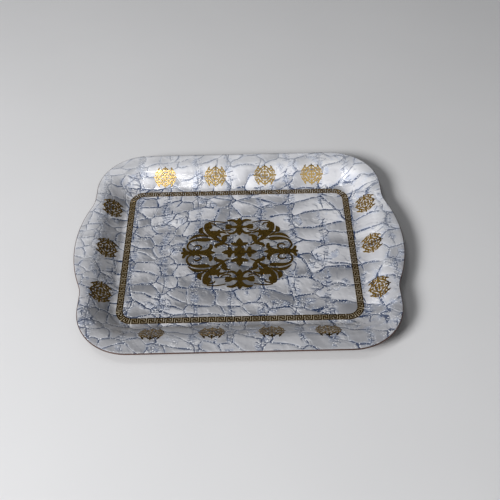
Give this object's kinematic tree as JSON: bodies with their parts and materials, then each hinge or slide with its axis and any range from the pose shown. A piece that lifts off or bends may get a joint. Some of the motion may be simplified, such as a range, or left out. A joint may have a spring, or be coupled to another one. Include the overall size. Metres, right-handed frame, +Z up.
{
  "type": "serving tray",
  "caption": "Low rectangular serving tray with sloped walls, round corners, a curved handle lobe at each end, pearl decor and gold ornament.",
  "frame": {"origin": "on the table, under the middle of the floor", "axes": "+X along the long side, towards one handle lobe; +Z up, out of the tray's well"},
  "size_m": [0.4046, 0.323, 0.0215],
  "materials": {
    "core_laminate": "satin reddish-brown pressed laminate",
    "pearl_decor": "high-gloss pearly white with blue-grey crackle lines",
    "gold_transfer": "polished gold foil under clear gloss"
  },
  "bodies": {
    "root": {"tray_core": "core_laminate", "decor_sheet": "pearl_decor", "key_border": "gold_transfer", "centre_ornament": "gold_transfer", "medallion_back_1": "gold_transfer", "medallion_back_2": "gold_transfer", "medallion_back_3": "gold_transfer", "medallion_back_4": "gold_transfer", "medallion_front_1": "gold_transfer", "medallion_front_2": "gold_transfer", "medallion_front_3": "gold_transfer", "medallion_front_4": "gold_transfer", "medallion_left_1": "gold_transfer", "medallion_left_2": "gold_transfer", "medallion_left_3": "gold_transfer", "medallion_right_1": "gold_transfer", "medallion_right_2": "gold_transfer", "medallion_right_3": "gold_transfer"}
  },
  "joints": []
}
